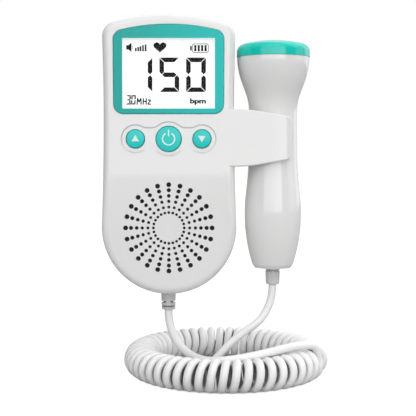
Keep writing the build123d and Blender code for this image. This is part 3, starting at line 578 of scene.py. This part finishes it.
# %% Plates
def plates(name, outlines, front, thickness, finish, body):
    """One piece of flat plates. Each outline is a list of (x, z) corners in millimetres."""
    bm = bmesh.new()
    for outline in outlines:
        bm.faces.new([bm.verts.new((x * mm, front + thickness, z * mm)) for x, z in outline])
    grown = bmesh.ops.extrude_face_region(bm, geom=bm.faces[:])
    moved = [v for v in grown["geom"] if isinstance(v, bmesh.types.BMVert)]
    bmesh.ops.translate(bm, verts=moved, vec=(0, -thickness, 0))
    bmesh.ops.recalc_face_normals(bm, faces=bm.faces)
    return placed(name, bm, finish, body)


def placed(name, bm, finish, body):
    """Makes a bmesh an object that rides on a body."""
    mesh = bpy.data.meshes.new(name)
    bm.to_mesh(mesh)
    bm.free()
    mesh.materials.append(finish)
    made = bpy.data.objects.new(name, mesh)
    bpy.context.scene.collection.objects.link(made)
    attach(made, body)
    print(name, "faces", len(mesh.polygons))
    return made


def stroke(points, width):
    """Outlines of straight bars along a line of points."""
    bars = []
    for (x0, z0), (x1, z1) in zip(points, points[1:]):
        length = math.hypot(x1 - x0, z1 - z0)
        side_x = -(z1 - z0) / length * width / 2
        side_z = (x1 - x0) / length * width / 2
        bars.append([
            (x0 + side_x, z0 + side_z), (x0 - side_x, z0 - side_z),
            (x1 - side_x, z1 - side_z), (x1 + side_x, z1 + side_z),
        ])
    return bars


glass_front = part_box("lcd_panel")[0].y
plate_thickness = 0.06 * mm
plate_front = glass_front - plate_thickness - 0.01 * mm
print("display's front at", round(glass_front / mm, 2))

# %% [markdown]
# A digit has seven segments: three level bars and four upright ones, with slanted ends that
# nearly meet. Each bar is written once for a cell of any size, so the large pulse figures and
# the small frequency figures come from the same function. The cell leans by a given amount,
# because the small figures are slanted.

# %% Segment digits
segments_of = {"0": "abcdef", "1": "bc", "3": "abgcd", "5": "afgcd"}


def digit(figure, left, bottom, width, height, bar, lean=0.0):
    """The outlines of one digit: a is the top, then clockwise to f, and g is the middle."""
    w, h, t = width, height, bar
    gap = 0.1 * t
    middle = h / 2
    half = t / 2
    shapes = {
        "a": [(gap, h), (w - gap, h), (w - t - gap, h - t), (t + gap, h - t)],
        "b": [(w, h - gap), (w, middle + half + gap), (w - half, middle + gap),
              (w - t, middle + half + gap), (w - t, h - t - gap)],
        "c": [(w, gap), (w, middle - half - gap), (w - half, middle - gap),
              (w - t, middle - half - gap), (w - t, t + gap)],
        "d": [(gap, 0), (w - gap, 0), (w - t - gap, t), (t + gap, t)],
        "g": [(half + gap, middle), (t + gap, middle + half), (w - t - gap, middle + half),
              (w - half - gap, middle), (w - t - gap, middle - half), (t + gap, middle - half)],
    }
    for right_one, left_one in (("b", "f"), ("c", "e")):
        shapes[left_one] = [(w - x, z) for x, z in shapes[right_one]]
    return [
        [(left + x + z * lean, bottom + z) for x, z in shapes[name]] for name in segments_of[figure]
    ]


figures = []
for figure, left in (("1", -17.12), ("5", -4.4), ("0", 8.21)):
    figures += digit(figure, left, bottom=29.8, width=9.33, height=16.2, bar=2.15)
small_foot = 23.85
for figure, left in (("3", -20.35), ("0", -17.95)):
    figures += digit(figure, left, small_foot, width=2.15, height=4.5, bar=0.64, lean=0.06)
dot_left, dot_right, dot_top = -18.22, -17.93, 24.4
figures.append([
    (dot_left, small_foot), (dot_right, small_foot), (dot_right, dot_top), (dot_left, dot_top),
])
print("bars of the digits", len(figures))

# %% [markdown]
# Around the figures stand the signs of such a display: a loudspeaker with rising volume bars,
# a heart that blinks with the pulse, a battery with its charge, and the unit of the small
# figures. They are drawn with the same plates. The heart is one closed curve, whose width
# follows a cubed sine and whose height follows a sum of cosines.

# %% Signs on the display
signs = [
    [(-20.1, 49.8), (-19.1, 49.8), (-17.6, 48.6), (-17.6, 53.0), (-19.1, 51.8), (-20.1, 51.8)],
]
signs += stroke([(-17.3, 49.9), (-16.95, 50.8), (-17.3, 51.8)], 0.2)
volume_bars = [(-15.55, 50.6), (-14.41, 51.0), (-13.33, 51.4), (-12.15, 51.8), (-10.92, 52.2)]
bars_foot, bar_half_width = 48.95, 0.4
for middle, top in volume_bars:
    left, right = middle - bar_half_width, middle + bar_half_width
    signs.append([(left, bars_foot), (right, bars_foot), (right, top), (left, top)])

heart_middle, heart_level, heart_half_width, heart_step = -4.15, 51.05, 3.1, 0.175
heart_corners = 36
heart_waves = (13, -5, -2, -1)
heart = []
for i in range(heart_corners):
    turn = math.tau * i / heart_corners
    rise = sum(size * math.cos(n * turn) for n, size in enumerate(heart_waves, start=1))
    heart.append((
        heart_middle + heart_half_width * math.sin(turn) ** 3, heart_level + heart_step * rise
    ))
signs.append(heart)

battery_left_end, battery_right_end, battery_foot, battery_top = 11.1, 18.9, 48.4, 52.4
corner = 0.7
case_line = [
    (battery_left_end + corner, battery_foot), (battery_right_end - corner, battery_foot),
    (battery_right_end, battery_foot + corner), (battery_right_end, battery_top - corner),
    (battery_right_end - corner, battery_top), (battery_left_end + corner, battery_top),
    (battery_left_end, battery_top - corner), (battery_left_end, battery_foot + corner),
    (battery_left_end + corner, battery_foot),
]
signs += stroke(case_line, 0.3)
signs.append([(10.1, 49.3), (10.8, 49.3), (10.8, 51.5), (10.1, 51.5)])
first_charge_bar, charge_bar_spacing = 12.55, 1.62
for i in range(4):
    middle = first_charge_bar + charge_bar_spacing * i
    signs.append([
        (middle - 0.58, 49.0), (middle + 0.58, 49.0), (middle + 0.46, 50.4),
        (middle + 0.58, 51.8), (middle - 0.58, 51.8), (middle - 0.46, 50.4),
    ])

letter_top, letter_stroke = 26.9, 0.56
letter_lines = [
    [(-15.05, small_foot), (-14.75, letter_top), (-14.1, 25.0), (-13.2, letter_top),
     (-13.15, small_foot)],
    [(-12.15, small_foot), (-12.05, letter_top)],
    [(-10.75, small_foot), (-10.65, letter_top)],
    [(-12.1, 25.35), (-10.7, 25.35)],
    [(-10.0, 26.0), (-8.55, 26.0), (-10.0, 24.05), (-8.45, 24.05)],
]
for line in letter_lines:
    signs += stroke(line, letter_stroke)
print("shapes of the signs", len(signs))

# %% [markdown]
# The unit of the pulse is in small bold letters. A text object gives their outlines. It is
# thickened, made a mesh, and only then stretched, turned upright and moved to its place, so
# that the finished object itself stays at the origin.

# %% Unit of the pulse
text_thickness = 0.02
boldness = 0.045
text = bpy.data.curves.new("pulse_unit", "FONT")
text.body = "bpm"
text.offset = boldness
text.resolution_u = 4
text.extrude = text_thickness / 2
letters = bpy.data.objects.new("letters", text)
bpy.context.scene.collection.objects.link(letters)
bm = bmesh.new()
bm.from_mesh(as_mesh(letters))
bmesh.ops.remove_doubles(bm, verts=bm.verts, dist=0.0001)
letters_left, letters_right, letters_foot, letters_top = 10.0, 17.6, 23.65, 26.8
old_left, old_right = min(v.co.x for v in bm.verts), max(v.co.x for v in bm.verts)
old_foot, old_top = min(v.co.y for v in bm.verts), max(v.co.y for v in bm.verts)
bmesh.ops.translate(bm, verts=bm.verts, vec=(-old_left, -old_foot, 0))
bmesh.ops.scale(bm, verts=bm.verts, vec=(
    (letters_right - letters_left) / (old_right - old_left) * mm,
    (letters_top - letters_foot) / (old_top - old_foot) * mm,
    plate_thickness / text_thickness,
))
bmesh.ops.rotate(bm, verts=bm.verts, matrix=Matrix.Rotation(math.radians(90), 3, "X"))
bmesh.ops.translate(bm, verts=bm.verts, vec=(
    letters_left * mm, plate_front + plate_thickness / 2, letters_foot * mm,
))
bmesh.ops.recalc_face_normals(bm, faces=bm.faces)

black = finishes["figure_black"]
placed("pulse_unit_letters", bm, black, "main_unit")
plates("display_figures", figures, plate_front, plate_thickness, black, "main_unit")
plates("display_signs", signs, plate_front, plate_thickness, black, "main_unit")

# %% [markdown]
# The signs on the buttons are printed white on their domed caps. Each starts flat in front of
# its button. Every corner is then moved straight back until it meets the cap, so the print
# follows the dome, and a thin extrusion closes it. A texture could do this too, but a
# printed layer keeps its edge sharp close up.

# %% Prints on the buttons
print_thickness = 0.03 * mm
bpy.context.view_layer.update()


def printed(name, bm, node):
    """Lays a flat shape on the front of a button."""
    button = frame["nodes"][node]
    for vert in bm.verts:
        _, spot, _, _ = button.ray_cast((vert.co.x, -1, vert.co.z), (0, 1, 0))
        vert.co.y = spot.y - print_thickness
    grown = bmesh.ops.extrude_face_region(bm, geom=bm.faces[:])
    moved = [v for v in grown["geom"] if isinstance(v, bmesh.types.BMVert)]
    bmesh.ops.translate(bm, verts=moved, vec=(0, 2 * print_thickness, 0))
    bmesh.ops.recalc_face_normals(bm, faces=bm.faces)
    placed(name, bm, finishes["print_white"], node)


def middle_of(node):
    """The middle of a button, as seen from the front."""
    low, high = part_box(node)
    return (low + high) / 2


def triangle(node, shift_x, shift_z, up):
    """A triangle that points up (1) or down (-1), in small enough faces to bend."""
    half_width, half_height = 1.72 * mm, 1.48 * mm * up
    middle = middle_of(node) + Vector((shift_x, 0, shift_z)) * mm
    bm = bmesh.new()
    corners = [(-half_width, -half_height), (half_width, -half_height), (0, half_height)]
    bm.faces.new([bm.verts.new((middle.x + x, 0, middle.z + z)) for x, z in corners])
    bmesh.ops.subdivide_edges(bm, edges=bm.edges[:], cuts=5, use_grid_fill=True)
    return bm


moulded("print_white", ((0.88, 0.93, 0.91), (0.84, 0.90, 0.88)), 0.35, 0.002 * mm, 0.4 * mm)
printed("volume_up_print", triangle("volume_up_button", 0.0, 0.35, 1), "volume_up_button")
printed("volume_down_print", triangle("volume_down_button", -0.05, -0.1, -1), "volume_down_button")

# %% [markdown]
# The sign for power is a ring with a gap at its top and a short bar in the gap. Spinning a
# short edge about the middle of the button draws the ring in one step. A text object or an
# image of the sign would need a font or a file.

# %% Power sign
ring_outside, ring_stroke = 3.15 * mm, 0.6 * mm
gap_half_angle = math.radians(31)
bar_foot, bar_top, bar_width = 1.2 * mm, 4.2 * mm, 0.55 * mm
hub = middle_of("power_button")
hub.y = 0
bm = bmesh.new()
ends = [
    bm.verts.new(hub + Matrix.Rotation(gap_half_angle, 3, "Y") @ Vector((0, 0, reach)))
    for reach in (ring_outside, ring_outside - ring_stroke / 2, ring_outside - ring_stroke)
]
line = [bm.edges.new(pair) for pair in zip(ends, ends[1:])]
bmesh.ops.spin(
    bm, geom=line, cent=hub, axis=(0, 1, 0), angle=math.tau - 2 * gap_half_angle, steps=40,
    use_merge=False, use_duplicate=False,
)
bmesh.ops.create_grid(
    bm, x_segments=2, y_segments=6, size=0.5,
    matrix=Matrix.Translation(hub + Vector((0, 0, (bar_foot + bar_top) / 2)))
    @ Matrix.Rotation(math.radians(90), 4, "X")
    @ Matrix.Diagonal((bar_width, bar_top - bar_foot, 1, 1)),
)
printed("power_print", bm, "power_button")

# %% [markdown]
# The monitor is held over a plain white table. A white table in strong light is simply white,
# so outside the ring of cord three quarters of what the camera sees of it is its own light.
# Inside the ring and a little behind it the table shows only what falls on it, which keeps
# the soft shadow there. In reflections it glows less, and least close by. To all other rays it
# is a plain grey surface, which lights the object a little from below.

# %% Floor
floor_half_size = 5.5
bm = bmesh.new()
bmesh.ops.create_grid(bm, x_segments=1, y_segments=1, size=floor_half_size)
bmesh.ops.translate(bm, verts=bm.verts, vec=(0, 0, floor_height))
floor_mesh = bpy.data.meshes.new("floor")
bm.to_mesh(floor_mesh)
bm.free()
floor = bpy.data.objects.new("floor", floor_mesh)
bpy.context.scene.collection.objects.link(floor)
floor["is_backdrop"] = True

ground = Finish(bpy.data.materials.new("floor"))
ground.tree.nodes.clear()
to_camera = ground.node("ShaderNodeLightPath", output="Is Camera Ray")
in_mirror = ground.node("ShaderNodeLightPath", output="Is Glossy Ray")
across, along, _ = ground.axes(ground.place())
far = ground.rise(0 - along, 0.4, 3.5)
across = (across - ring_centre.x) / ring_half_width
along = (along - ring_centre.y) / ring_half_depth
along = along * (1 - ground.rise(along, 0.0, 0.5) * 0.35)
in_ring = 1 - ground.rise(across * across + along * along, 0.9, 1.1)

own_light, least_in_mirror, more_when_far, own_share = 1.2, 0.45, 0.45, 0.75
less_in_mirror = own_light - least_in_mirror - far * more_when_far
glow = ground.node(
    "ShaderNodeEmission", inputs={"Strength": own_light - in_mirror * less_in_mirror}
)
matt = ground.node("ShaderNodeBsdfDiffuse", inputs={"Color": 0.35 + to_camera * 0.53})
share = to_camera * (1 - in_ring) * own_share + in_mirror
surface = ground.node("ShaderNodeMixShader", inputs={0: share, 1: matt, 2: glow})
ground.node("ShaderNodeOutputMaterial", inputs={"Surface": surface})
floor_mesh.materials.append(ground.owner)
print("floor at", floor_height / mm)

# %% [markdown]
# The light is that of a small white studio. A large soft panel stands in front, brighter
# toward the right and low down. One panel is at the right, a bright narrow one behind it, a
# wide one at the back and one overhead. The walls between them are dim, and dimmest at the
# left. All are drawn in the world by direction: the angle to the side, 0 in front and 90 at
# the right, and the height. Area lamps would do the same but would show as sharp squares in
# the glossy housing. Bands with soft ends are closer to lit cloth. Where the camera looks
# past the table it sees plain white.

# %% Light of the studio
world = bpy.data.worlds.new("studio")
bpy.context.scene.world = world
studio = Finish(world)
studio.tree.nodes.clear()
sideways, depth, height = studio.axes(studio.node("ShaderNodeTexCoord", output="Generated"))
bearing = studio.sum("ARCTAN2", sideways, 0 - depth) * math.degrees(1)
front = studio.band(bearing, -42, 35, 4) * studio.band(height, -0.06, 0.94, 0.02)
front = front * (0.70 + studio.rise(bearing, -50, 40) * 0.47)
front = front * (1.16 - studio.rise(height, 0.1, 0.6) * 0.45)
right = studio.band(bearing, 71, 106, 4)
rim = studio.band(bearing, 112, 140, 5)
back = studio.rise(bearing, 138, 146) + studio.rise(0 - bearing, 150, 170)
left = studio.band(0 - bearing, 60, 155, 16)
above = studio.rise(height, 0.5, 0.65) * (1 - front)
walls = 0.26
strength = walls + front * 2.35 + right * 1.2 + rim * 1.8 + back * 0.8
strength = strength + above * 0.62 - left * 0.15
seen = studio.node("ShaderNodeLightPath", output="Is Camera Ray")
lit = studio.node("ShaderNodeBackground", inputs={"Strength": strength})
white = studio.node("ShaderNodeBackground", inputs={"Color": (1, 1, 1, 1), "Strength": 1.0})
studio.tree.links.new(
    studio.node("ShaderNodeMixShader", inputs={0: seen, 1: lit, 2: white}).socket,
    studio.tree.nodes.new("ShaderNodeOutputWorld").inputs["Surface"],
)
bpy.context.scene.view_settings.view_transform = "Standard"
print("studio nodes", len(studio.tree.nodes))

# %% [markdown]
# Both boxes, of the solid pieces and of the dressed model, are measured, and the last line
# prints how far each side has grown.

# %% Size of the dressed model
low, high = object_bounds()
growth = zip((*cad_low, *cad_high), (*low, *high))
print("growth in mm", [round((after - before) / mm, 2) for before, after in growth])
